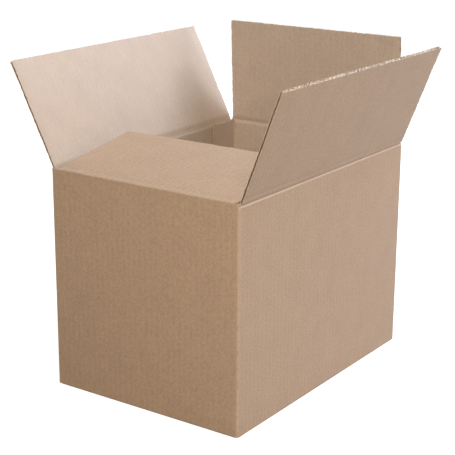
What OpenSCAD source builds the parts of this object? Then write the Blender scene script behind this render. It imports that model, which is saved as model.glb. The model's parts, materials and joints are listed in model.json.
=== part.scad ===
// Open cardboard box: a slotted shipping carton folded from one sheet of single-wall corrugated board.
// The bottom flaps are folded shut and taped. The four top flaps stand open, each on its own fold.
// X runs across the width, Y along the length and Z up. The origin is the middle of the underside.

/* [Box] */
// Inside width, between the two long side walls
inside_w = 254; // [200:1:320]
// Inside length, between the two short end walls
inside_l = 356; // [300:1:450]
// Inside height, from the bottom flaps to the fold lines of the long top flaps
inside_h = 257; // [150:1:350]

/* [Board] */
// Thickness of the board
board_t = 4; // [3:0.1:5]
// Thickness of each flat liner sheet
liner_t = 0.35; // [0.2:0.05:0.6]
// Thickness of the wavy sheet between the liners
medium_t = 0.3; // [0.2:0.05:0.5]
// Distance from one flute to the next
flute_pitch = 7.8; // [6:0.1:10]
// How far an opened flute reaches in behind a cut edge
cut_flute_depth = 2.6; // [1:0.1:3.5]

/* [Folds] */
// Outside radius of the upright corners and of the bottom folds
fold_r = 3; // [1.5:0.1:5]
// Radius of the bulge on the inside of an upright corner
bulge_r = 2.5; // [0.5:0.1:4]
// Thickness that the board is crushed to along a top fold
crease_t = 1; // [0.8:0.1:1.5]
// Height over which the crushed board swells back to its full thickness
crease_ramp = 0.8; // [0.2:0.1:1.2]
// Gap between wall and flap at the fold line, on each side of it
fold_gap = 0.15; // [0.1:0.05:0.3]
// How much higher the short top flaps fold than the long ones: such a flap bends round its inner face
end_rise = 3.8; // [0:0.1:5]
// How much further the long top flaps reach than the long bottom flaps
top_flap_extra = 4; // [0:0.5:10]

/* [Slots] */
// Distance from a box corner to the side edge of a long flap
side_flap_inset = 4; // [2:0.5:8]
// Gap between the side edge of a short flap and the long wall beside it
end_flap_gap = 1; // [0.5:0.1:3]
// How far the slots between the top flaps run down past the fold lines
slot_reach = 0; // [0:0.1:6]
// Gap between a top flap's side edge and the corner of the box beside it
slot_gap = 0.5; // [0.3:0.1:2]
// How much further in the slot was cut at the left end of the front flap
front_slot_error = 4.5; // [-1:0.1:8]
// How much further in the slot was cut at the back end of the left flap
left_slot_error = 2; // [-3:0.1:6]
// How much further in the slot was cut at the back end of the right flap, here further out
right_slot_error = -2.3; // [-3:0.1:6]
// How far the slots between the bottom flaps run up past the fold lines
bottom_slot_reach = 1.5; // [0.5:0.1:2.5]
// Gap between the two long bottom flaps where they meet
seam_gap = 1; // [0.2:0.1:4]

/* [Glue tab] */
// Width of the glue tab, from the end wall's inner face to its cut edge
tab_w = 50; // [25:1:80]
// Distance from the long top flaps' fold lines down to the tab's upper end
tab_top_gap = 1; // [0.5:0.1:5]
// Gap between the tab's lower end and the short bottom flap
tab_low_gap = 1; // [0.5:0.1:5]
// How much shorter each end of the tab is at its cut edge
tab_taper = 1; // [0:0.5:15]

/* [Tape] */
// Width of the tape along the bottom seam
tape_w = 48; // [25:1:75]
// Thickness of the tape, pressed flush into the underside
tape_t = 0.1; // [0.05:0.05:0.3]
// Distance from each end of the long bottom flaps to the end of the tape
tape_end_gap = 6; // [2:1:40]

/* [Flap angles] */
// Front flap, from upright, positive outwards: it is folded in and springs up a little
front_angle = -80.5; // [-88:0.5:170]
// Back flap, from upright, positive outwards
back_angle = -2.5; // [-88:0.5:170]
// Left flap, from upright, positive outwards
left_angle = 27.5; // [1:0.5:170]
// Right flap, from upright, positive outwards
right_angle = 21; // [1:0.5:170]

/* [Hidden] */

outer_w = inside_w + 2 * board_t;
outer_l = inside_l + 2 * board_t;
floor_z = 2 * board_t;                            // top of the short bottom flaps
fold_h = floor_z + inside_h;                      // height of the long top flaps' fold lines
flap_l = (outer_w - seam_gap) / 2;                // two long bottom flaps meet under the middle
long_top_l = flap_l + top_flap_extra;
short_top_l = long_top_l - end_rise;              // the sheet's upper edge is one straight cut
long_flap_w = outer_l - 2 * side_flap_inset;
short_flap_w = inside_w - 2 * end_flap_gap;
corner_low = bottom_slot_reach;                   // the slots leave the upright corners between
corner_high = fold_h - slot_reach;                // these two heights, and the front two corners
front_corner_high = corner_high + end_rise;       // up to this one
foot_top = fold_r + board_t;                      // how high the walls' feet run up into the walls
flute_start = board_t + fold_gap + crease_ramp;   // where a flap has swollen to full thickness
core_h = board_t - 2 * liner_t;                   // room between the liners
lap = 0.5;                                        // how far two joined shapes run into each other
wall_top = fold_h - board_t;                      // where the walls' crushed top edges begin
fold_steps = 5;                                   // flats along each quarter-round fold
half_pitch = flute_pitch / 2;
crest_w = 0.09 * flute_pitch;                     // half widths of a flute's channel at its crest,
flank_w = 0.25 * flute_pitch;                     // halfway up its flanks
foot_w = 0.42 * flute_pitch;                      // and at its feet

board = [0.72, 0.60, 0.48];
board_light = [0.80, 0.69, 0.59];
tape_colour = [0.66, 0.50, 0.32];

// Points along an arc, from one angle to another.
function arc(centre, r, from, to) = [
    for (i = [0 : fold_steps])
        let (a = from + (to - from) * i / fold_steps)
        centre + r * [cos(a), sin(a)]
];

// An outline in the YZ plane, drawn out along X on both sides of the middle.
module along_x(length) {
    rotate([90, 0, 90])
        linear_extrude(length, center = true)
            children();
}

// An outline in the XZ plane, drawn out along Y on both sides of the middle.
module along_y(length) {
    rotate([90, 0, 0])
        linear_extrude(length, center = true)
            children();
}

// Places a child that is made for the front wall, hinge on the X axis, at the front wall's top fold.
module at_front() {
    translate([0, -outer_l / 2, fold_h + end_rise])
        children();
}

module at_back() {
    translate([0, outer_l / 2, fold_h + end_rise])
        rotate([0, 0, 180])
            children();
}

module at_right() {
    translate([outer_w / 2, 0, fold_h])
        rotate([0, 0, 90])
            children();
}

module at_left() {
    translate([-outer_w / 2, 0, fold_h])
        rotate([0, 0, -90])
            children();
}

// Outside of the four walls seen from above. The sheet's two ends meet at the back left corner:
// the back wall folds there into the glue tab, and the left wall ends beside the fold in a cut edge
// with one flute laid open.
module outer_outline() {
    x = outer_w / 2;
    y = outer_l / 2;
    cut_y = y - fold_r;
    polygon(concat(
        arc([-x + fold_r, -y + fold_r], fold_r, 180, 270),
        arc([x - fold_r, -y + fold_r], fold_r, 270, 360),
        arc([x - fold_r, y - fold_r], fold_r, 0, 90),
        arc([-x + board_t + fold_r, y - fold_r], fold_r, 90, 180),
        [
            [-x + board_t - liner_t, cut_y],
            [-x + board_t - liner_t, cut_y - cut_flute_depth],
            [-x + liner_t, cut_y - cut_flute_depth],
            [-x + liner_t, cut_y],
            [-x, cut_y]
        ]
    ));
}

// Inside of the four walls seen from above, with the bulge that folding leaves in the corners.
module inner_outline() {
    x = inside_w / 2;
    y = inside_l / 2;
    polygon(concat(
        arc([-x + bulge_r, -y + bulge_r], bulge_r, 180, 270),
        arc([x - bulge_r, -y + bulge_r], bulge_r, 270, 360),
        arc([x - bulge_r, y - bulge_r], bulge_r, 0, 90),
        [[-x, y]]
    ));
}

// The four walls, from above the bottom folds to under their crushed top edges.
module walls() {
    translate([0, 0, fold_r])
        linear_extrude(wall_top - fold_r)
            difference() {
                outer_outline();
                inner_outline();
            }
}

// The upright corners run on beside the folds, down and up to the ends of the slots. The gap is
// between them and the flaps' side edges. Only the front two are kept where front_only is set.
module corners(low, high, gap, front_only = false) {
    translate([0, 0, low])
        linear_extrude(high - low)
            difference() {
                outer_outline();
                inner_outline();
                square([short_flap_w + 2 * gap, 2 * outer_l], center = true);
                square([2 * outer_w, long_flap_w + 2 * gap], center = true);
                if (front_only)
                    translate([0, outer_l / 2])
                        square([2 * outer_w, outer_l], center = true);
            }
}

// The top edge of a wall, crushed along the fold so that the flap can lie flat over it. The rise is
// the height of its fold above the long flaps' folds.
module rim(width, rise) {
    foot = -rise - board_t - lap;
    along_x(width)
        polygon([
            [0, foot],
            [0, -fold_gap],
            [crease_t, -fold_gap - crease_t],
            [board_t, -fold_gap - crease_t - crease_ramp],
            [board_t, foot]
        ]);
}

// A side wall's foot with its long bottom flap, which closes the bottom up to the seam.
module side_bottom() {
    x = outer_w / 2;
    along_y(long_flap_w)
        polygon(concat(
            [[seam_gap / 2, 0]],
            arc([x - fold_r, fold_r], fold_r, 270, 360),
            [
                [x, foot_top],
                [x - board_t, foot_top],
                [x - board_t, board_t],
                [seam_gap / 2, board_t]
            ]
        ));
}

// An end wall's foot with its short bottom flap. The four bottom fold lines are level in the sheet, so
// the foot reaches down beside the ends of the long flaps, and the short flap steps up to lie on them.
module end_bottom() {
    y = outer_l / 2;
    difference() {
        along_x(short_flap_w)
            polygon(concat(
                [
                    [y - flap_l, board_t],
                    [y - board_t, board_t]
                ],
                arc([y - fold_r, fold_r], fold_r, 270, 360),
                [
                    [y, foot_top + board_t],
                    [y - board_t, foot_top + board_t],
                    [y - board_t, floor_z],
                    [y - flap_l, floor_z]
                ]
            ));
        translate([0, y - flap_l, board_t])
            flute_ends(short_flap_w);
    }
}

// What the slant at the upper end of the glue tab cuts away, from the corner out past its cut edge.
module tab_slant() {
    reach = board_t + bulge_r;
    translate([(reach - inside_w) / 2, inside_l / 2, 0])
        along_x(reach + 2 * lap)
            polygon([
                [0, 0],
                [-tab_w, -tab_taper],
                [-tab_w - lap, -tab_taper],
                [-tab_w - lap, lap],
                [0, lap]
            ]);
}

// The glue tab seen from above, with one flute laid open in its cut edge.
module tab_outline() {
    x = -inside_w / 2;
    y = inside_l / 2;
    cut_y = y - tab_w;
    polygon([
        [x, y + lap],
        [x + board_t, y + lap],
        [x + board_t, cut_y],
        [x + board_t - liner_t, cut_y],
        [x + board_t - liner_t, cut_y + cut_flute_depth],
        [x + liner_t, cut_y + cut_flute_depth],
        [x + liner_t, cut_y],
        [x, cut_y]
    ]);
}

// The bulge inside the corner where the back wall folds into the glue tab.
module tab_bulge() {
    x = -inside_w / 2 + board_t;
    y = inside_l / 2;
    polygon(concat(
        [[x - lap, y - bulge_r], [x - lap, y + lap], [x + bulge_r, y + lap]],
        arc([x + bulge_r, y - bulge_r], bulge_r, 90, 180)
    ));
}

// The glue tab: the back wall runs on round the back left corner and is glued inside the left wall.
module glue_tab() {
    low = floor_z + tab_low_gap;
    high = fold_h - tab_top_gap;
    translate([0, 0, low])
        linear_extrude(wall_top - low)
            tab_bulge();
    difference() {
        translate([0, 0, low])
            linear_extrude(high - low)
                tab_outline();
        if (tab_taper > 0) {
            translate([0, 0, high])
                tab_slant();
            translate([0, 0, low])
                mirror([0, 0, 1])
                    tab_slant();
        }
    }
}

// The strip that the tape fills, with its underside level with the box's underside.
module tape_strip() {
    length = long_flap_w - 2 * tape_end_gap;
    translate([-tape_w / 2, -length / 2, 0])
        cube([tape_w, length, tape_t]);
}

// Everything that stays still: four walls, glue tab and closed bottom, folded from the one sheet.
module box_body() {
    color(board)
        difference() {
            union() {
                walls();
                corners(corner_low, foot_top, 0);
                corners(wall_top - lap, corner_high, slot_gap);
                corners(wall_top - lap, front_corner_high, slot_gap, front_only = true);
                at_front() rim(short_flap_w + 2 * slot_gap, end_rise);
                at_back() rim(short_flap_w + 2 * slot_gap, end_rise);
                at_right() rim(long_flap_w + 2 * slot_gap, 0);
                at_left() rim(long_flap_w + 2 * slot_gap, 0);
                side_bottom();
                mirror([1, 0, 0]) side_bottom();
                end_bottom();
                mirror([0, 1, 0]) end_bottom();
                glue_tab();
            }
            tape_strip();
        }
}

// One flute channel on the outer liner: the wavy sheet over it, as its crest, flanks and feet.
module channel() {
    rise = core_h - medium_t;
    polygon([
        [-foot_w, liner_t],
        [-flank_w, liner_t + rise / 2],
        [-crest_w, liner_t + rise],
        [crest_w, liner_t + rise],
        [flank_w, liner_t + rise / 2],
        [foot_w, liner_t]
    ]);
}

// The channels on both sides of the wavy sheet, the middle one on the outer liner.
module channels(last) {
    for (i = [-last : last])
        translate([i * half_pitch, (i % 2 == 0) ? 0 : board_t])
            mirror([0, (i % 2 == 0) ? 0 : 1])
                channel();
}

// Section across a flap's flutes: two flat liners with the wavy sheet between them.
module corrugated_section(width) {
    difference() {
        translate([-width / 2, 0])
            square([width, board_t]);
        channels(floor((width / 2 + foot_w) / half_pitch));
    }
}

// The open ends of the flutes that lie wholly within a bottom flap's cut edge, which is on the X axis.
module flute_ends(width) {
    rotate([90, 0, 0])
        linear_extrude(2 * cut_flute_depth, center = true)
            channels(floor((width / 2 - foot_w) / half_pitch));
}

// A top flap that hinges on the X axis with its outer face on the XZ plane. The flutes run from the
// crushed fold, where they are pressed shut, to the free edge, where they are open.
module flap(width, length, angle) {
    rotate([angle, 0, 0]) {
        along_x(width)
            polygon([
                [0, fold_gap],
                [crease_t, fold_gap + crease_t],
                [crease_t, fold_gap + board_t],
                [board_t, flute_start],
                [board_t, flute_start + lap],
                [0, flute_start + lap]
            ]);
        translate([0, 0, flute_start])
            linear_extrude(length - flute_start)
                corrugated_section(width);
    }
}

module front_flap() {
    color(board_light)
        at_front()
            translate([front_slot_error / 2, 0, 0])
                flap(short_flap_w - front_slot_error, short_top_l, front_angle);
}

module back_flap() {
    color(board)
        at_back() flap(short_flap_w, short_top_l, back_angle);
}

module left_flap() {
    color(board_light)
        at_left()
            translate([left_slot_error / 2, 0, 0])
                flap(long_flap_w - left_slot_error, long_top_l, left_angle);
}

module right_flap() {
    color(board)
        at_right()
            translate([-right_slot_error / 2, 0, 0])
                flap(long_flap_w - right_slot_error, long_top_l, right_angle);
}

// Packing tape that holds the long bottom flaps shut.
module bottom_tape() {
    color(tape_colour)
        tape_strip();
}

box_body();
front_flap();
back_flap();
left_flap();
right_flap();
bottom_tape();
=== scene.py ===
"""Open cardboard box: the finish of a slotted carton of single-wall corrugated board."""
import json
import math

import bmesh
import bpy
from mathutils import Matrix, Vector


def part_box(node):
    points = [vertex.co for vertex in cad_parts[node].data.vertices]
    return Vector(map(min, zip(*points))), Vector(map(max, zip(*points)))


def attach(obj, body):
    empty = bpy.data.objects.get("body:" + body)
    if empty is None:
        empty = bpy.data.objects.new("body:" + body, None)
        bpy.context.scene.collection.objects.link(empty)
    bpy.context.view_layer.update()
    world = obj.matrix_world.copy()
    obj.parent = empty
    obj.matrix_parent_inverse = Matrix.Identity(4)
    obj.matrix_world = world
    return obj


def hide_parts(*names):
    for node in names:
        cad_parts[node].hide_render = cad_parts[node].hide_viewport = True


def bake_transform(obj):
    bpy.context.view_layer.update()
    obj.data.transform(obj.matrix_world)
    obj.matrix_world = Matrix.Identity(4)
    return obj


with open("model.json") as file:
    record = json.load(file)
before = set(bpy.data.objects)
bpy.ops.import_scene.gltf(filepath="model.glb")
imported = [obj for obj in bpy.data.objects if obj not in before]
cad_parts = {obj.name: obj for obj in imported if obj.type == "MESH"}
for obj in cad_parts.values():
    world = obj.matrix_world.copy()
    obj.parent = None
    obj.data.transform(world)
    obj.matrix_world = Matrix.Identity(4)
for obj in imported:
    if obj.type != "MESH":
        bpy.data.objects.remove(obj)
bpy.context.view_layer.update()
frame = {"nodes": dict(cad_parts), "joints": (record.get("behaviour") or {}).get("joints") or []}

MM = 0.001
# Points this near to a row or an edge belong to it
NEAR = 0.01 * MM

# Sizes of the box. Its outer faces and fold lines come from the frame. Two bottom flaps meet with the
# seam between them, and the long top flaps are as long as those and a little more.
folds = {joint["child"]: Vector(joint["pos_m"]) for joint in frame["joints"]}
FOLD_Z = folds["left_flap"].z
OUTER_X = folds["right_flap"].x
OUTER_Y = folds["back_flap"].y
END_RISE = folds["front_flap"].z - FOLD_Z
SEAM = 1 * MM
TOP_EXTRA = 4 * MM
LONG_FLAP = OUTER_X - SEAM / 2 + TOP_EXTRA
SHORT_FLAP = LONG_FLAP - END_RISE

# The board: its thickness, its liners' and its wavy sheet's, the distance between flutes, and the
# steps that draw one flute
BOARD = 4 * MM
LINER = 0.35 * MM
MEDIUM = 0.25 * MM
PITCH = 7.8 * MM
FLUTE_STEPS = 12
# Where the wavy sheet starts over the fold, and how far it stays inside the free and slot edges
WAVE_START = 5.6 * MM
WAVE_INSET = 0.9 * MM
SIDE_INSET = 3.4 * MM
# The frayed free edge: how thick the crushed paper is, between which distances under the free edge
# it lies, and how rough it is
FRAY_THICK = 1.7 * MM
FRAY_DEEP = 1.0 * MM
FRAY_INSET = 0.3 * MM
FRAY_ROUGH = 0.35 * MM

# A flat sheet's rows, a liner's first columns, how far apart the columns added round its middle are,
# and the width that adds one on each side of it
SHEET_ROWS = 6
LINER_COLUMNS = 12
COLUMN_STEP = 5 * MM
WIDTH_PER_COLUMN = 12 * MM
# The uneven knife cuts: how far apart the added rows of points are and which is the first, where the
# slot edges start to be rough, how wide the rough rim is, and how far its points move
CUT_ROW = 4 * MM
FIRST_CUT_ROW = 4
ROUGH_START = 11 * MM
ROUGH_RIM = 0.3 * MM
SLOT_ROUGH = 0.3 * MM
FREE_ROUGH = 0.25 * MM

# Half the height over which the board bends at its fold
BEND_REACH = 1.2 * MM
# Where the outer liner starts, and how deep it is pressed in at some heights over the fold line, in
# millimetres
OUTER_START = -3.0
OUTWARD_FOLD = {
    -1.4: 0, -1.0: 0.1, -0.6: 0.42, -0.2: 0.8, 0.2: 1.1, 0.6: 1.25, 1.0: 1.25, 1.5: 1.1, 2.1: 0.6,
    2.8: 0.25, 3.8: 0, 6.4: 0, 7.2: 0.2, 8.0: 0.45, 8.8: 0.2, 9.6: 0}
INWARD_FOLD = {
    -1.6: 0, -1.0: 0.08, -0.6: 0.2, -0.3: 0.38, 0: 0.5, 0.3: 0.38, 0.6: 0.2, 1.0: 0.08, 1.6: 0,
    6.4: 0, 7.2: 0.12, 8.0: 0.22, 8.8: 0.12, 9.6: 0}
# Where the inner liner starts, and how deep it is under the outer face at some heights over the
# middle of its soft crease, in millimetres
INNER_START = -6.5
INNER_CREASE = {
    -6.5: 4.0, -5: 4.0, -4: 3.85, -3: 3.4, -1.6: 2.75, -0.6: 2.5, 0: 2.45, 0.6: 2.6, 1.6: 2.95,
    2.8: 3.4, 4: 3.7, 4.8: 3.75, 5.4: 3.95, 6.5: 4.0, 8: 4.0}
# More rows of the inner liner round the fold line, so that it bends evenly, and how far they have to
# be from the crease's own rows
BEND_ROWS = (-3.6, -2.4, -1.2, -0.8, -0.4, 0, 0.4, 0.8, 1.2, 2.4, 3.6)
ROWS_APART = 0.2

# The painted highlight lines along the folds: how far under the fold line, and how wide to each side,
# and how wide and how strong the paler bands at the upright corners are
HIGHLIGHT_DROP = 0.5 * MM
HIGHLIGHT_REACH = 1.0 * MM
PALE_CORNER_WIDTH = 1.8 * MM
CORNER_STRENGTH = 0.28

# The knives that cut the slots crushed the board beside them: how far in, from what height over the
# fold line, by what share, and at which distances from the slot edge there are points for it
PINCH_REACH = 7 * MM
PINCH_START = 1 * MM
PINCH = 0.36
PINCH_COLUMNS = (1.5 * MM, 3 * MM, 5 * MM, 7 * MM)

# How far each flap leans out from upright in degrees, how its wall is turned from the front, where
# its inner crease is over its fold line, how much narrower its foot is at the right-hand end, and
# where from the middle its free edge has a nick
FLAPS = {
    "front_flap": {
        "lean": -80.5, "turn": 0, "length": SHORT_FLAP, "pressed": INWARD_FOLD,
        "crease": -END_RISE, "foot_trim": 4 * MM},
    "back_flap": {
        "lean": -2.5, "turn": 180, "length": SHORT_FLAP, "pressed": OUTWARD_FOLD,
        "crease": -END_RISE, "foot_trim": 0},
    "left_flap": {
        "lean": 27.5, "turn": -90, "length": LONG_FLAP, "pressed": OUTWARD_FOLD,
        "crease": 0, "foot_trim": 0},
    "right_flap": {
        "lean": 21.0, "turn": 90, "length": LONG_FLAP, "pressed": OUTWARD_FOLD,
        "crease": 0, "foot_trim": 1.8 * MM, "nick": -130 * MM},
}
# The nick: its depth, half its width and how near to the free edge the points are that it moves
NICK_DEEP = 1.8 * MM
NICK_HALF_WIDTH = 2.6 * MM
NICK_RIM = 1 * MM
# How far up from the fold line a foot is narrower
FOOT_HEIGHT = 9.7 * MM
# How far from the middle the opened flutes end: in the bottom flaps, the glue tab and the left wall
FLUTE_ENDS = (54.1 * MM, 130.6 * MM, 176.4 * MM)


# Work on one object


def pick(obj):
    """Makes obj the one selected and active object."""
    bpy.ops.object.select_all(action="DESELECT")
    obj.select_set(True)
    bpy.context.view_layer.objects.active = obj


def open_edit(obj):
    pick(obj)
    bpy.ops.object.mode_set(mode="EDIT")


def close_edit():
    bpy.ops.object.mode_set(mode="OBJECT")


def choose_points(obj, test):
    """Selects the points of the edited mesh that pass test."""
    bpy.ops.mesh.select_mode(type="VERT")
    bpy.ops.mesh.select_all(action="DESELECT")
    mesh = bmesh.from_edit_mesh(obj.data)
    for point in mesh.verts:
        point.select = test(point)
    mesh.select_flush(True)
    bmesh.update_edit_mesh(obj.data)


def choose(obj, test):
    """Selects the points whose place passes test."""
    choose_points(obj, lambda point: test(point.co))


def slide(obj, test, by):
    """Moves the points that pass test."""
    choose(obj, test)
    bpy.ops.transform.translate(value=by)


def apply_place(obj):
    """Moves an object's place, turn and scale into its mesh."""
    pick(obj)
    bpy.ops.object.transform_apply(location=True, rotation=True, scale=True)


def apply_modifier(obj, kind, **settings):
    """Adds one modifier and applies it."""
    pick(obj)
    modifier = obj.modifiers.new(kind, kind)
    for name, value in settings.items():
        setattr(modifier, name, value)
    bpy.ops.object.modifier_apply(modifier=modifier.name)


def smooth(obj):
    """Shades an object smooth, but for its sharp edges."""
    pick(obj)
    bpy.ops.object.shade_smooth_by_angle(angle=math.radians(30))


def joined(name, parts):
    """Joins the parts into one object called name."""
    pick(parts[0])
    for part in parts[1:]:
        part.select_set(True)
    bpy.ops.object.join()
    parts[0].name = name
    parts[0].data.name = name
    return parts[0]


def cut_rows(obj, places, axis):
    """Adds a row of points at each place along the axis."""
    open_edit(obj)
    for place in places:
        bpy.ops.mesh.select_all(action="SELECT")
        bpy.ops.mesh.bisect(plane_co=axis * place, plane_no=axis)
    close_edit()


def upright_sheet(name, width, low, high, columns, facing):
    """A flat sheet on the XZ plane. It faces -Y, the outside, or +Y, the inside."""
    bpy.ops.object.select_all(action="DESELECT")
    bpy.ops.mesh.primitive_grid_add(x_subdivisions=columns, y_subdivisions=SHEET_ROWS, size=1)
    obj = bpy.context.object
    obj.name = name
    obj.scale = (width, high - low, 1)
    obj.rotation_euler = (math.radians(90 if facing == "outside" else -90), 0, 0)
    obj.location = (0, 0, (low + high) / 2)
    apply_place(obj)
    return obj


# Materials


def new_material(name):
    material = bpy.data.materials.new(name)
    material.use_nodes = True
    return material, material.node_tree.nodes, material.node_tree.links


def put(nodes, kind, **settings):
    """Adds a shader node with these settings."""
    node = nodes.new(kind)
    for name, value in settings.items():
        setattr(node, name, value)
    return node


def math_node(nodes, links, operation, first, second=None, third=None):
    """Adds a calculation. Each value is a number or the output of another node."""
    node = put(nodes, "ShaderNodeMath", operation=operation)
    for socket, value in zip(node.inputs, (first, second, third)):
        if value is None:
            continue
        if isinstance(value, (int, float)):
            socket.default_value = value
        else:
            links.new(value, socket)
    return node.outputs[0]


def noise(nodes, links, vector, scale, detail=3, roughness=0.6, stretch=None):
    """Adds a noise pattern. It is drawn out along an axis where stretch is under 1."""
    if stretch:
        mapping = put(nodes, "ShaderNodeMapping")
        mapping.inputs["Scale"].default_value = stretch
        links.new(vector, mapping.inputs["Vector"])
        vector = mapping.outputs[0]
    node = put(nodes, "ShaderNodeTexNoise")
    node.inputs["Scale"].default_value = scale
    node.inputs["Detail"].default_value = detail
    node.inputs["Roughness"].default_value = roughness
    links.new(vector, node.inputs["Vector"])
    return node.outputs["Fac"]


def ramp(nodes, links, value, stops):
    """A colour ramp from (place, colour) stops."""
    node = put(nodes, "ShaderNodeValToRGB")
    elements = node.color_ramp.elements
    while len(elements) < len(stops):
        elements.new(1)
    for element, (place, colour) in zip(elements, stops):
        element.position = place
        element.color = (*colour, 1)
    links.new(value, node.inputs["Fac"])
    return node.outputs["Color"]


def grey(share):
    return (share,) * 3


def tinted(colour, share):
    """A darker or paler colour."""
    return tuple(min(1, c * share) for c in colour)


def mixed(nodes, links, blend, factor, first, second):
    """Mixes two colours. Each is a colour or the output of another node."""
    node = put(nodes, "ShaderNodeMix", data_type="RGBA", blend_type=blend)
    if isinstance(factor, (int, float)):
        node.inputs["Factor"].default_value = factor
    else:
        links.new(factor, node.inputs["Factor"])
    for socket, value in ((node.inputs["A"], first), (node.inputs["B"], second)):
        if isinstance(value, tuple):
            socket.default_value = (*value, 1)
        else:
            links.new(value, socket)
    return node.outputs["Result"]


def bump(nodes, links, height, strength, distance, before=None):
    """Adds a relief, on top of the one before."""
    node = put(nodes, "ShaderNodeBump")
    node.inputs["Strength"].default_value = strength
    node.inputs["Distance"].default_value = distance
    links.new(height, node.inputs["Height"])
    if before is not None:
        links.new(before, node.inputs["Normal"])
    return node.outputs["Normal"]


def fold_highlight_and_pale_corners(nodes, links, split, fold_height, strength):
    """How much paler the paper is painted. A highlight is painted along a thin line under the top
    fold line, by strength, and a paler band at the four upright corners below that."""
    over = math_node(nodes, links, "SUBTRACT", split.outputs["Z"], fold_height - HIGHLIGHT_DROP)
    off_fold = math_node(nodes, links, "ABSOLUTE", over)
    off_fold = math_node(nodes, links, "DIVIDE", off_fold, HIGHLIGHT_REACH)
    line = ramp(nodes, links, off_fold, [(0.4, grey(strength)), (1.0, grey(0))])
    out_x = math_node(nodes, links, "ABSOLUTE", split.outputs["X"])
    out_y = math_node(nodes, links, "ABSOLUTE", split.outputs["Y"])
    out = math_node(nodes, links, "ADD", out_x, out_y)
    from_corner = math_node(nodes, links, "SUBTRACT", OUTER_X + OUTER_Y, out)
    from_corner = math_node(nodes, links, "DIVIDE", from_corner, 2 * PALE_CORNER_WIDTH)
    corner = ramp(nodes, links, from_corner, [(0.5, grey(CORNER_STRENGTH)), (1.0, grey(0))])
    below = math_node(nodes, links, "LESS_THAN", split.outputs["Z"], fold_height)
    corner = math_node(nodes, links, "MULTIPLY", corner, below)
    return math_node(nodes, links, "MAXIMUM", line, corner)


def kraft(name, colour, across, grain, fold_height=None, fold_highlight=0, flute_stripe_shade=0.07):
    """Kraft liner: pulp clouds, short fibres, and the flutes under it, as a bump and as darker
    stripes of painted shade. The flutes follow one another along the axis that across names. Grain is
    how strongly the pulp is mottled; the argument after fold_height is how strongly a highlight is
    painted along the fold line."""
    material, nodes, links = new_material(name)
    shader = nodes["Principled BSDF"]
    place = put(nodes, "ShaderNodeTexCoord").outputs["Object"]
    split = put(nodes, "ShaderNodeSeparateXYZ")
    links.new(place, split.inputs[0])

    clouds = noise(nodes, links, place, scale=38)
    mottle = noise(nodes, links, place, scale=420, detail=4, roughness=0.7)
    along = {"X": (0.35, 1, 1), "Y": (1, 0.35, 1)}[across]
    fibres = noise(nodes, links, place, scale=1500, detail=2, stretch=along)

    turns = math_node(nodes, links, "MULTIPLY", split.outputs[across], 2 * math.pi / PITCH)
    wander = math_node(nodes, links, "MULTIPLY", noise(nodes, links, place, scale=22), 1.2)
    flutes = math_node(nodes, links, "SINE", math_node(nodes, links, "ADD", turns, wander))
    flutes = math_node(nodes, links, "MULTIPLY", flutes, noise(nodes, links, place, scale=30))
    flutes = math_node(nodes, links, "MULTIPLY_ADD", flutes, 0.5, 0.5)

    paper = ramp(nodes, links, mottle, [
        (0.25, tinted(colour, 1 - 0.2 * grain)), (0.5, colour),
        (0.75, tinted(colour, 1 + 0.16 * grain))])
    cloudy = ramp(nodes, links, clouds, [(0.3, grey(0.93)), (0.7, grey(1))])
    shown = mixed(nodes, links, "MULTIPLY", 1.0, paper, cloudy)
    fibre = ramp(nodes, links, fibres, [(0.30, (0.80, 0.78, 0.75)), (0.45, grey(1))])
    shown = mixed(nodes, links, "MULTIPLY", 0.5 * grain, shown, fibre)
    # Darker stripes along the flutes: painted shade of the washboard relief, which the bump also
    # draws
    stripe = ramp(nodes, links, flutes, [(0.0, grey(1 - flute_stripe_shade)), (1.0, grey(1))])
    shown = mixed(nodes, links, "MULTIPLY", 1.0, shown, stripe)
    # A highlight is painted along the fold line, and a paler band at the upright corners
    if fold_height:
        highlight_and_corners = fold_highlight_and_pale_corners(nodes, links, split, fold_height, fold_highlight)
        shown = mixed(nodes, links, "MIX", highlight_and_corners, shown, HIGHLIGHT_AND_CORNER_PAPER)
    links.new(shown, shader.inputs["Base Color"])

    shader.inputs["Specular IOR Level"].default_value = 0.45
    rough = ramp(nodes, links, mottle, [(0.3, grey(0.62)), (0.7, grey(0.74))])
    links.new(rough, shader.inputs["Roughness"])

    relief = bump(nodes, links, flutes, strength=0.5, distance=0.12 * MM)
    relief = bump(nodes, links, mottle, strength=0.35, distance=0.12 * MM, before=relief)
    relief = bump(nodes, links, fibres, strength=0.3, distance=0.05 * MM, before=relief)
    links.new(relief, shader.inputs["Normal"])
    return material


def cut_edge(name, colour):
    """Freshly cut paper: paler and fuzzier than the liner, with torn clumps that are darker. The
    colour given is partly a painted highlight on the flaps' edges and painted shade on the walls' cut
    faces.
    """
    material, nodes, links = new_material(name)
    shader = nodes["Principled BSDF"]
    place = put(nodes, "ShaderNodeTexCoord").outputs["Object"]
    fuzz = noise(nodes, links, place, scale=900)
    clumps = noise(nodes, links, place, scale=170, detail=4, roughness=0.75)
    shown = ramp(nodes, links, fuzz, [(0.3, tinted(colour, 0.8)), (0.7, tinted(colour, 1.1))])
    torn = ramp(nodes, links, clumps, [(0.38, (0.55, 0.5, 0.46)), (0.52, grey(1))])
    shown = mixed(nodes, links, "MULTIPLY", 1.0, shown, torn)
    links.new(shown, shader.inputs["Base Color"])
    shader.inputs["Roughness"].default_value = 0.85
    shader.inputs["Specular IOR Level"].default_value = 0.3
    relief = bump(nodes, links, fuzz, strength=0.6, distance=0.15 * MM)
    links.new(relief, shader.inputs["Normal"])
    return material


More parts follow.
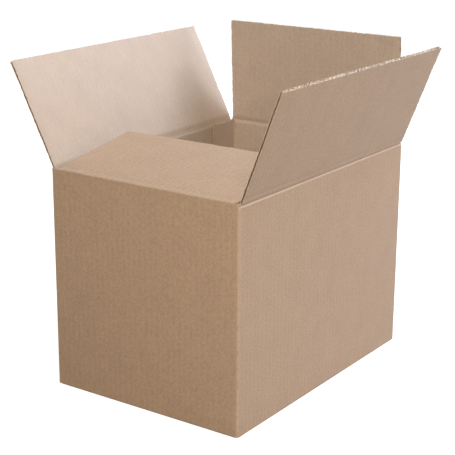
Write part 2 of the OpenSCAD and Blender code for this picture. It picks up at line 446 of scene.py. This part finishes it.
def fluting(name, colour):
    """The wavy sheet: rougher and darker recycled paper."""
    material, nodes, links = new_material(name)
    shader = nodes["Principled BSDF"]
    place = put(nodes, "ShaderNodeTexCoord").outputs["Object"]
    pulp = noise(nodes, links, place, scale=600, detail=4)
    shown = ramp(nodes, links, pulp, [(0.3, tinted(colour, 0.75)), (0.7, colour)])
    links.new(shown, shader.inputs["Base Color"])
    shader.inputs["Roughness"].default_value = 0.9
    relief = bump(nodes, links, pulp, strength=0.5, distance=0.1 * MM)
    links.new(relief, shader.inputs["Normal"])
    return material


def packing_tape(name):
    """Brown film tape: glossy, streaked along its length, with cloudy spots where air is trapped."""
    material, nodes, links = new_material(name)
    shader = nodes["Principled BSDF"]
    place = put(nodes, "ShaderNodeTexCoord").outputs["Object"]
    streaks = noise(nodes, links, place, scale=240, stretch=(1, 0.03, 1))
    air = noise(nodes, links, place, scale=110, detail=5, roughness=0.7)
    film = ramp(nodes, links, streaks, [
        (0.35, (0.30, 0.165, 0.065)), (0.65, (0.36, 0.205, 0.085))])
    cloudy = ramp(nodes, links, air, [(0.5, grey(0)), (0.75, grey(1))])
    shown = mixed(nodes, links, "MIX", cloudy, film, (0.47, 0.30, 0.15))
    links.new(shown, shader.inputs["Base Color"])
    rough = ramp(nodes, links, air, [(0.4, grey(0.16)), (0.8, grey(0.32))])
    links.new(rough, shader.inputs["Roughness"])
    relief = bump(nodes, links, streaks, strength=0.25, distance=0.1 * MM)
    links.new(relief, shader.inputs["Normal"])
    return material


OUTER_PAPER = (0.545, 0.397, 0.293)
INNER_PAPER = (0.675, 0.563, 0.494)
# Paper colour for the painted highlight along the folds and the paler bands at the upright corners
HIGHLIGHT_AND_CORNER_PAPER = (0.70, 0.57, 0.48)
# The inner liner of the side flaps and walls is a darker copy of the inner paper: painted shade
INNER_SIDES_PAINTED_DARKER = tinted(INNER_PAPER, 0.9)
# The cut edges' pale colour: partly fresh paper, partly a painted highlight
CUT_PAPER_WITH_HIGHLIGHT = (0.88, 0.79, 0.71)
# A darker copy of the cut paper for the walls' cut faces: painted shade
SHADED_CUT_EDGE_PAPER = (0.72, 0.59, 0.47)
FLUTE_PAPER = (0.46, 0.33, 0.22)
outer_x = kraft("outer_liner_ends", OUTER_PAPER, "X", 1.1, FOLD_Z + END_RISE, fold_highlight=0.35)
outer_y = kraft("outer_liner_sides", OUTER_PAPER, "Y", 1.1, FOLD_Z, fold_highlight=0.9)
inner_x = kraft("inner_liner_ends", INNER_PAPER, "X", 0.9, flute_stripe_shade=0.05)
inner_y = kraft("shaded_inner_liners_of_sides", INNER_SIDES_PAINTED_DARKER, "Y", 0.5, flute_stripe_shade=0.045)
edge_paper = cut_edge("cut_edge", CUT_PAPER_WITH_HIGHLIGHT)
shaded_edge_paper = cut_edge("shaded_cut_edge", SHADED_CUT_EDGE_PAPER)
wavy_paper = fluting("wavy_sheet", FLUTE_PAPER)
tape_film = packing_tape("tape_film")


# The four top flaps


BEND_HALVINGS = 24


def share_of_bend(depth, height, lean):
    """How much of a flap's turn the board has made at a place in the flat flap. Where the place ends
    up depends on that share, and its share on where it ends up, so the two are halved in on."""
    low, high = 0.0, 1.0
    for _ in range(BEND_HALVINGS):
        share = (low + high) / 2
        turned = math.radians(lean) * (share - 0.5)
        over = depth * math.sin(turned) + height * math.cos(turned)
        t = min(1, max(0, (over + BEND_REACH) / (2 * BEND_REACH)))
        if t * t * (3 - 2 * t) > share:
            low = share
        else:
            high = share
    return (low + high) / 2


def between(table, height):
    """Reads a table of heights and depths, in a straight line from one height to the next."""
    heights = sorted(table)
    if height <= heights[0]:
        return table[heights[0]]
    for below, above in zip(heights, heights[1:]):
        if height <= above:
            part = (height - below) / (above - below)
            return table[below] + (table[above] - table[below]) * part
    return table[heights[-1]]


def press_rows(sheet, depths):
    """Cuts a row at each height of a table and moves it to its depth, both in millimetres."""
    low = min(p.co.z for p in sheet.data.vertices) / MM
    rows = [h for h in depths if h > low + NEAR / MM]
    cut_rows(sheet, [h * MM for h in rows], Vector((0, 0, 1)))
    open_edit(sheet)
    for height in rows + [low]:
        depth = between(depths, height) * MM
        at = height * MM
        slide(sheet, lambda p: abs(p.z - at) < NEAR, (0, depth, 0))
    close_edit()


def lean_over(obj, lean):
    """Turns each point of an upright sheet about the fold line, by its share of the flap's lean."""
    bands = {}
    for point in obj.data.vertices:
        share = round(share_of_bend(point.co.y, point.co.z, lean), 3)
        bands.setdefault(share, set()).add(point.index)
    open_edit(obj)
    for share, numbers in bands.items():
        if share > 0:
            choose_points(obj, lambda point: point.index in numbers)
            bpy.ops.transform.rotate(
                value=-math.radians(lean * share), orient_axis="X", center_override=(0, 0, 0))
    close_edit()


def pinch_sides(sheet, width):
    """Presses a sheet towards the middle of the board beside the slots."""
    columns = sorted({
        round(abs(p.co.x), 6) for p in sheet.data.vertices
        if abs(p.co.x) > width / 2 - PINCH_REACH + NEAR})
    open_edit(sheet)
    for place in columns:
        share = 1 - (width / 2 - place) / PINCH_REACH
        choose(sheet, lambda p: abs(abs(p.x) - place) < NEAR and p.z > PINCH_START)
        bpy.ops.transform.resize(
            value=(1, 1 - PINCH * share * share, 1), center_override=(0, BOARD / 2, 0))
    close_edit()


def roughen(sheet, test, by, seed):
    """Moves the points that pass test a little at random, the same way on each run."""
    choose(sheet, test)
    bpy.ops.transform.vertex_random(offset=by, uniform=1.0, normal=0.0, seed=seed)


def ragged(sheet, width, length, nick):
    """Leaves the slot edges and the free edge of a liner slightly uneven, as blunt knives do, with
    one small nick in the free edge where nick says."""
    rows = [row * CUT_ROW for row in range(FIRST_CUT_ROW, int(length / CUT_ROW))]
    cut_rows(sheet, rows, Vector((0, 0, 1)))
    open_edit(sheet)
    side = width / 2 - ROUGH_RIM
    roughen(sheet, lambda p: abs(p.x) > side and p.z > ROUGH_START, SLOT_ROUGH, seed=3)
    roughen(sheet, lambda p: p.z > length - ROUGH_RIM, FREE_ROUGH, seed=7)
    if nick:
        slide(
            sheet,
            lambda p: abs(p.x - nick) < NICK_HALF_WIDTH and p.z > length - NICK_RIM,
            (0, 0, -NICK_DEEP))
    close_edit()


def trim_foot(sheet, width, trim):
    """Curves a sheet's right-hand edge in towards the fold, as the slot beside it was torn."""
    if trim == 0:
        return
    heights = sorted({round(p.co.z, 6) for p in sheet.data.vertices if p.co.z < FOOT_HEIGHT})
    open_edit(sheet)
    for height in heights:
        share = min(1, 1 - height / FOOT_HEIGHT) ** 2
        choose(sheet, lambda p: abs(p.z - height) < NEAR)
        bpy.ops.transform.resize(
            value=(1 - trim * share / width, 1, 1), center_override=(-width / 2, 0, 0))
    close_edit()


def thicken_liner(sheet, paper):
    """Gives a liner its thickness, behind its face, with cut paper round its rim."""
    sheet.data.materials.append(paper)
    sheet.data.materials.append(edge_paper)
    apply_modifier(sheet, "SOLIDIFY", thickness=LINER, offset=-1, material_offset_rim=1)


def liner_sheet(name, width, start, length, facing):
    """A flat liner with columns of points in its middle and closer ones beside the slots."""
    sheet = upright_sheet(name, width, start, length, LINER_COLUMNS, facing)
    columns = [side * (width / 2 - inset) for inset in PINCH_COLUMNS for side in (-1, 1)]
    count = int(width / WIDTH_PER_COLUMN)
    columns += [column * COLUMN_STEP for column in range(-count, count)]
    cut_rows(sheet, columns, Vector((1, 0, 0)))
    return sheet


def outer_liner(width, length, lean, pressed, trim, nick, paper):
    """The outer liner of a flap. It starts on the wall, is pressed in along the fold and has a
    second, fainter crease where the board is no longer crushed."""
    sheet = liner_sheet("outer_liner", width, OUTER_START * MM, length, "outside")
    press_rows(sheet, pressed)
    pinch_sides(sheet, width)
    ragged(sheet, width, length, nick)
    trim_foot(sheet, width, trim)
    lean_over(sheet, lean)
    thicken_liner(sheet, paper)
    return sheet


def inner_liner(width, length, lean, crease, trim, nick, paper):
    """The inner liner of a flap. It starts inside the wall and dips softly along its crease."""
    middle = crease / MM
    sheet = liner_sheet("inner_liner", width, (INNER_START + middle) * MM, length, "inside")
    depths = {h + middle: d for h, d in INNER_CREASE.items()}
    near = {h: between(depths, h) for h in BEND_ROWS if min(abs(h - k) for k in depths) > ROWS_APART}
    depths.update(near)
    open_edit(sheet)
    slide(sheet, lambda p: True, (0, BOARD, 0))
    close_edit()
    press_rows(sheet, {h: d - BOARD / MM for h, d in depths.items()})
    pinch_sides(sheet, width)
    ragged(sheet, width, length, nick)
    trim_foot(sheet, width, trim)
    lean_over(sheet, lean)
    thicken_liner(sheet, paper)
    return sheet


def wave(name, width, low, high, thickness):
    """A wavy sheet whose crests touch both liners."""
    flutes = math.floor((width - 2 * SIDE_INSET) / PITCH * 2) / 2
    columns = round(flutes * FLUTE_STEPS)
    sheet = upright_sheet(name, columns * PITCH / FLUTE_STEPS, low, high, columns, "outside")
    swing = (BOARD - 2 * LINER - thickness) / 2
    step = PITCH / FLUTE_STEPS
    first = -columns * step / 2
    open_edit(sheet)
    for phase in range(FLUTE_STEPS):
        by = BOARD / 2 + swing * math.cos(2 * math.pi * phase / FLUTE_STEPS)
        slide(sheet, lambda p: round((p.x - first) / step) % FLUTE_STEPS == phase, (0, by, 0))
    close_edit()
    pinch_sides(sheet, width)
    return sheet


def wavy_sheet(width, length, lean):
    """The wavy sheet between the liners, from the crushed fold to just under the free edge."""
    sheet = wave("wavy_sheet", width, WAVE_START, length - WAVE_INSET, MEDIUM)
    lean_over(sheet, lean)
    sheet.data.materials.append(wavy_paper)
    apply_modifier(sheet, "SOLIDIFY", thickness=MEDIUM, offset=0)
    return sheet


def frayed_edge(width, length, lean):
    """The wavy sheet along the free edge, where the cut has crushed it and frayed its paper."""
    sheet = wave("frayed_edge", width, length - FRAY_DEEP, length - FRAY_INSET, FRAY_THICK)
    open_edit(sheet)
    roughen(sheet, lambda p: True, FRAY_ROUGH, seed=5)
    close_edit()
    lean_over(sheet, lean)
    sheet.data.materials.append(edge_paper)
    apply_modifier(sheet, "SOLIDIFY", thickness=FRAY_THICK, offset=0)
    return sheet


def span(node, turn):
    """Where a flap's middle is along its wall, seen from outside, and how wide the flap is."""
    back = Matrix.Rotation(math.radians(-turn), 3, "Z")
    left, right = sorted((back @ corner).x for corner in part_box(node))
    return (left + right) / 2, right - left


def make_flap(node, lean, turn, length, pressed, crease, foot_trim, nick=None):
    """One top flap of corrugated board, joined to its wall along the fold."""
    ends = turn % 180 == 0
    middle, width = span(node, turn)
    parts = [
        outer_liner(width, length, lean, pressed, foot_trim, nick, outer_x if ends else outer_y),
        inner_liner(width, length, lean, crease, foot_trim, nick, inner_x if ends else inner_y),
        wavy_sheet(width, length, lean),
        frayed_edge(width, length, lean),
    ]
    flap = joined(node + "_board", parts)
    turned = Matrix.Rotation(math.radians(turn), 3, "Z")
    flap.rotation_euler = (0, 0, math.radians(turn))
    flap.location = folds[node] + turned @ Vector((middle, 0, 0))
    apply_place(flap)
    smooth(flap)

    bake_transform(flap)
    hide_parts(node)


for node, settings in FLAPS.items():
    make_flap(node, **settings)


# The walls, glue tab and bottom


def box_cutter(low, high):
    """A block between two corners, to cut with."""
    bpy.ops.object.select_all(action="DESELECT")
    bpy.ops.mesh.primitive_cube_add(size=1)
    block = bpy.context.object
    block.scale = high - low
    block.location = (low + high) / 2
    apply_place(block)
    return block


def carve(obj, cutter):
    """Cuts the cutter's shape out of an object."""
    apply_modifier(obj, "BOOLEAN", operation="DIFFERENCE", solver="EXACT", object=cutter)
    bpy.data.objects.remove(cutter)


# A face is turned to an axis if its normal has this share along it, and it is shaded flat from the
# second share on
FACING = 0.7
FLAT = 0.9999
# How far a face may lie from the plane of its paper: of the outer liner, which is crushed in places,
# of the inner liner, and of the bottom's papers, the glue tab's and the flutes' ends
OUTER_CRUSH = 0.9 * MM
INNER_CRUSH = 0.2 * MM
LEVEL = 0.1 * MM
# The underside's faces are under this height, and above the next one are the end walls' tops, where
# the wavy sheet shows
UNDERSIDE = 1 * MM
END_WALL_TOP = FOLD_Z + 1 * MM

WALL_PAPERS = (outer_x, outer_y, inner_x, inner_y, shaded_edge_paper, wavy_paper)
OUTER_END, OUTER_SIDE, INNER_END, INNER_SIDE, CUT, FLUTE = range(len(WALL_PAPERS))


def board_face(centre, normal):
    """Which of the wall papers a face of the walls and bottom shows, by its place and direction."""
    x, y, z = abs(centre.x), abs(centre.y), centre.z
    if abs(normal.y) > FACING and min(abs(y - end) for end in FLUTE_ENDS) < LEVEL:
        return FLUTE
    inner_x_at = OUTER_X - BOARD
    inner_y_at = OUTER_Y - BOARD
    tab_face = centre.x < 0 and x < inner_x_at + LEVEL and normal.x > FACING
    if abs(normal.x) > FACING:
        if x > OUTER_X - OUTER_CRUSH and normal.x * centre.x > 0:
            return OUTER_SIDE
        if normal.x * centre.x < 0 and (abs(x - inner_x_at) < INNER_CRUSH or tab_face):
            return INNER_SIDE
        return CUT
    if abs(normal.y) > FACING:
        if y > OUTER_Y - OUTER_CRUSH and normal.y * centre.y > 0:
            return OUTER_END
        if normal.y * centre.y < 0 and abs(y - inner_y_at) < INNER_CRUSH:
            return INNER_END
        return CUT
    if abs(normal.z) > FACING:
        if z < UNDERSIDE and normal.z < 0:
            return OUTER_SIDE
        if abs(z - 2 * BOARD) < LEVEL and normal.z > 0:
            return INNER_END
        if abs(z - BOARD) < LEVEL and normal.z > 0:
            return INNER_SIDE
        return FLUTE if z > END_WALL_TOP else CUT
    at_end = y / OUTER_Y > x / OUTER_X
    if normal.x * centre.x + normal.y * centre.y > 0:
        return OUTER_END if at_end else OUTER_SIDE
    return INNER_END if at_end else INNER_SIDE


# The rebates for the liners: how far a liner's lower end reaches into the wall and the inner rebate
# past its face, the room beside a flap, how far up over the fold line the cut goes, and between which
# depths from the outer face each rebate lies
MARGIN = 0.02 * MM
SIDE_ROOM = 0.05 * MM
REBATE_TOP = 1 * MM
OUTER_REBATE = (-1 * MM, 1.2 * MM)
INNER_REBATE = (1.8 * MM, BOARD + MARGIN)
# Points nearer to each other than this are one
SAME_POINT = 0.001 * MM


def rebate(walls, node, depths, low_z):
    """Cuts a rebate into the top of the wall under a flap, as wide as the flap. One of its liners
    starts there. The depths are from the wall's outer face and the height from its fold line."""
    turn = FLAPS[node]["turn"]
    middle, width = span(node, turn)
    fold = folds[node]
    face = -math.hypot(fold.x, fold.y)
    half = width / 2 + SIDE_ROOM
    right = middle + half - FLAPS[node]["foot_trim"]
    low_y, high_y = depths
    cutter = box_cutter(
        Vector((middle - half, face + low_y, fold.z + low_z)),
        Vector((right, face + high_y, fold.z + REBATE_TOP)))
    cutter.rotation_euler = (0, 0, math.radians(turn))
    apply_place(cutter)
    carve(walls, cutter)


def make_walls():
    """The four walls with the glue tab and the closed bottom, folded from the same sheet."""
    walls = bpy.data.objects.new("box_walls", frame["nodes"]["box_body"].data.copy())
    bpy.context.scene.collection.objects.link(walls)
    walls.data.materials.clear()
    open_edit(walls)
    bpy.ops.mesh.select_all(action="SELECT")
    bpy.ops.mesh.remove_doubles(threshold=SAME_POINT)
    close_edit()
    for node, settings in FLAPS.items():
        rebate(walls, node, OUTER_REBATE, OUTER_START * MM + MARGIN)
        rebate(walls, node, INNER_REBATE, INNER_START * MM + settings["crease"] + MARGIN)
    for paper in WALL_PAPERS:
        walls.data.materials.append(paper)
    for face in walls.data.polygons:
        face.material_index = board_face(face.center, face.normal)
    smooth(walls)
    for face in walls.data.polygons:
        if max(abs(part) for part in face.normal) > FLAT:
            face.use_smooth = False
    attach(walls, "box")
    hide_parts("box_body")


make_walls()


# The tape along the bottom seam


# The tape's columns across it and rows along it, and how deep its teeth are
TAPE_COLUMNS = 64
TAPE_ROWS = 40
TAPE_TOOTH = 0.7 * MM


def make_tape():
    """Film tape, with the teeth that its cutter leaves at both ends."""
    low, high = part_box("bottom_tape")
    bpy.ops.object.select_all(action="DESELECT")
    bpy.ops.mesh.primitive_grid_add(x_subdivisions=TAPE_COLUMNS, y_subdivisions=TAPE_ROWS, size=1)
    tape = bpy.context.object
    tape.name = "seam_tape"
    tape.scale = (high.x - low.x, high.y - low.y, 1)
    apply_place(tape)
    step = (high.x - low.x) / TAPE_COLUMNS
    open_edit(tape)
    for end in (-1, 1):
        edge = end * (high.y - low.y) / 2
        slide(
            tape,
            lambda p: abs(p.y - edge) < NEAR and round((p.x - low.x) / step) % 2 == 0,
            (0, -end * TAPE_TOOTH, 0))
    close_edit()
    tape.data.materials.append(tape_film)
    apply_modifier(tape, "SOLIDIFY", thickness=high.z - low.z, offset=1)
    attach(tape, "box")
    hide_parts("bottom_tape")


make_tape()


# Floor, light and camera


# The floor's size, and how far it lies under the box
FLOOR_SIZE = 24
FLOOR_DROP = 0.2 * MM


def seen_directly(nodes, links):
    """1 for what the camera, a gloss or a clear material shows, and 0 for light on the object."""
    rays = put(nodes, "ShaderNodeLightPath").outputs
    seen = math_node(nodes, links, "MAXIMUM", rays["Is Camera Ray"], rays["Is Glossy Ray"])
    return math_node(nodes, links, "MAXIMUM", seen, rays["Is Transmission Ray"])


def make_floor():
    """A pale floor that keeps the box's shadow and glows white farther out."""
    bpy.ops.object.select_all(action="DESELECT")
    bpy.ops.mesh.primitive_plane_add(size=FLOOR_SIZE, location=(0, 0, -FLOOR_DROP))
    floor = bpy.context.object
    floor.name = "floor"
    apply_place(floor)
    material, nodes, links = new_material("floor_white")
    nodes.clear()
    diffuse = put(nodes, "ShaderNodeBsdfDiffuse")
    diffuse.inputs["Color"].default_value = (0.5, 0.5, 0.5, 1)
    glow = put(nodes, "ShaderNodeEmission")
    place = put(nodes, "ShaderNodeTexCoord").outputs["Object"]
    distance = put(nodes, "ShaderNodeVectorMath", operation="LENGTH")
    links.new(place, distance.inputs[0])
    pale = ramp(nodes, links, distance.outputs["Value"], [(0.35, grey(0.88)), (1.0, grey(1))])
    links.new(pale, glow.inputs["Color"])
    links.new(seen_directly(nodes, links), glow.inputs["Strength"])
    both = put(nodes, "ShaderNodeAddShader")
    links.new(diffuse.outputs[0], both.inputs[0])
    links.new(glow.outputs[0], both.inputs[1])
    output = put(nodes, "ShaderNodeOutputMaterial")
    links.new(both.outputs[0], output.inputs["Surface"])
    floor.data.materials.append(material)


def make_world():
    """A room that is white to look at and lights the box only a little."""
    world = bpy.data.worlds.new("studio")
    bpy.context.scene.world = world
    world.use_nodes = True
    nodes, links = world.node_tree.nodes, world.node_tree.links
    nodes.clear()
    room = put(nodes, "ShaderNodeBackground")
    room.inputs["Color"].default_value = (1.0, 0.99, 0.97, 1)
    room.inputs["Strength"].default_value = 0.03
    white = put(nodes, "ShaderNodeBackground")
    white.inputs["Color"].default_value = (1, 1, 1, 1)
    mix = put(nodes, "ShaderNodeMixShader")
    links.new(seen_directly(nodes, links), mix.inputs[0])
    links.new(room.outputs[0], mix.inputs[1])
    links.new(white.outputs[0], mix.inputs[2])
    output = put(nodes, "ShaderNodeOutputWorld")
    links.new(mix.outputs[0], output.inputs["Surface"])


# The softboxes face the box's middle line at this height. Each has a name, a direction from there, a
# distance and size in metres, watts and a colour.
SOFTBOX_TARGET = FOLD_Z * 0.8
SOFTBOXES = (
    ("key_softbox", (0.85, 0.40, 0.24), 1.7, 0.4, 6.5, (1.0, 0.972, 1.0)),
    ("camera_side_softbox", (0.5, -0.8, 0.6), 1.8, 0.9, 20.6, (1.0, 0.839, 0.61)),
    ("top_back_softbox", (0.2, 0.8, 0.9), 1.8, 0.9, 25.8, (0.892, 0.94, 1.0)),
    ("back_right_softbox", (0.83, 1.0, 1.03), 1.8, 0.35, 5.2, (0.84, 0.88, 1.0)),
    ("top_front_softbox", (0.0, -0.6, 1.0), 1.8, 0.9, 2.6, (0.85, 0.87, 1.0)),
)


def softbox(name, direction, distance, size, power, colour):
    """A square softbox that faces the box."""
    target = Vector((0, 0, SOFTBOX_TARGET))
    data = bpy.data.lights.new(name, "AREA")
    data.shape = "SQUARE"
    data.size = size
    data.energy = power
    data.color = colour
    light = bpy.data.objects.new(name, data)
    bpy.context.scene.collection.objects.link(light)
    towards = Vector(direction).normalized()
    light.location = target + towards * distance
    light.rotation_euler = (-towards).to_track_quat("-Z", "Y").to_euler()


# The camera: where it stands, how it is turned in degrees, and its focal length, the middle of its
# view and its picture's width in pixels of the photograph
CAMERA_PLACE = (0.85453, -1.24827, 0.63493)
CAMERA_AZIMUTH = 34.883
CAMERA_ELEVATION = 17.016
CAMERA_ROLL = 0.303
FOCAL_PX = 1290.58
CENTRE_PX = (223.76, 230.27)
IMAGE_PX = 455


def make_camera():
    azimuth = math.radians(CAMERA_AZIMUTH)
    elevation = math.radians(CAMERA_ELEVATION)
    roll = math.radians(CAMERA_ROLL)
    back = Vector((
        math.sin(azimuth) * math.cos(elevation),
        -math.cos(azimuth) * math.cos(elevation),
        math.sin(elevation)))
    right = (-back).cross(Vector((0, 0, 1))).normalized()
    up = right.cross(-back)
    turned_right = right * math.cos(roll) + up * math.sin(roll)
    turned_up = up * math.cos(roll) - right * math.sin(roll)
    place = Matrix((turned_right, turned_up, back)).transposed().to_4x4()
    place.translation = Vector(CAMERA_PLACE)
    data = bpy.data.cameras.new("camera")
    data.sensor_width = 36
    data.lens = FOCAL_PX * data.sensor_width / IMAGE_PX
    data.shift_x = (IMAGE_PX / 2 - CENTRE_PX[0]) / IMAGE_PX
    data.shift_y = (CENTRE_PX[1] - IMAGE_PX / 2) / IMAGE_PX
    data.clip_start = 0.05
    data.clip_end = 60
    camera = bpy.data.objects.new("camera", data)
    bpy.context.scene.collection.objects.link(camera)
    camera.matrix_world = place
    bpy.context.scene.camera = camera


make_floor()
make_world()
for settings in SOFTBOXES:
    softbox(*settings)
make_camera()
bpy.context.scene.view_settings.view_transform = "Standard"
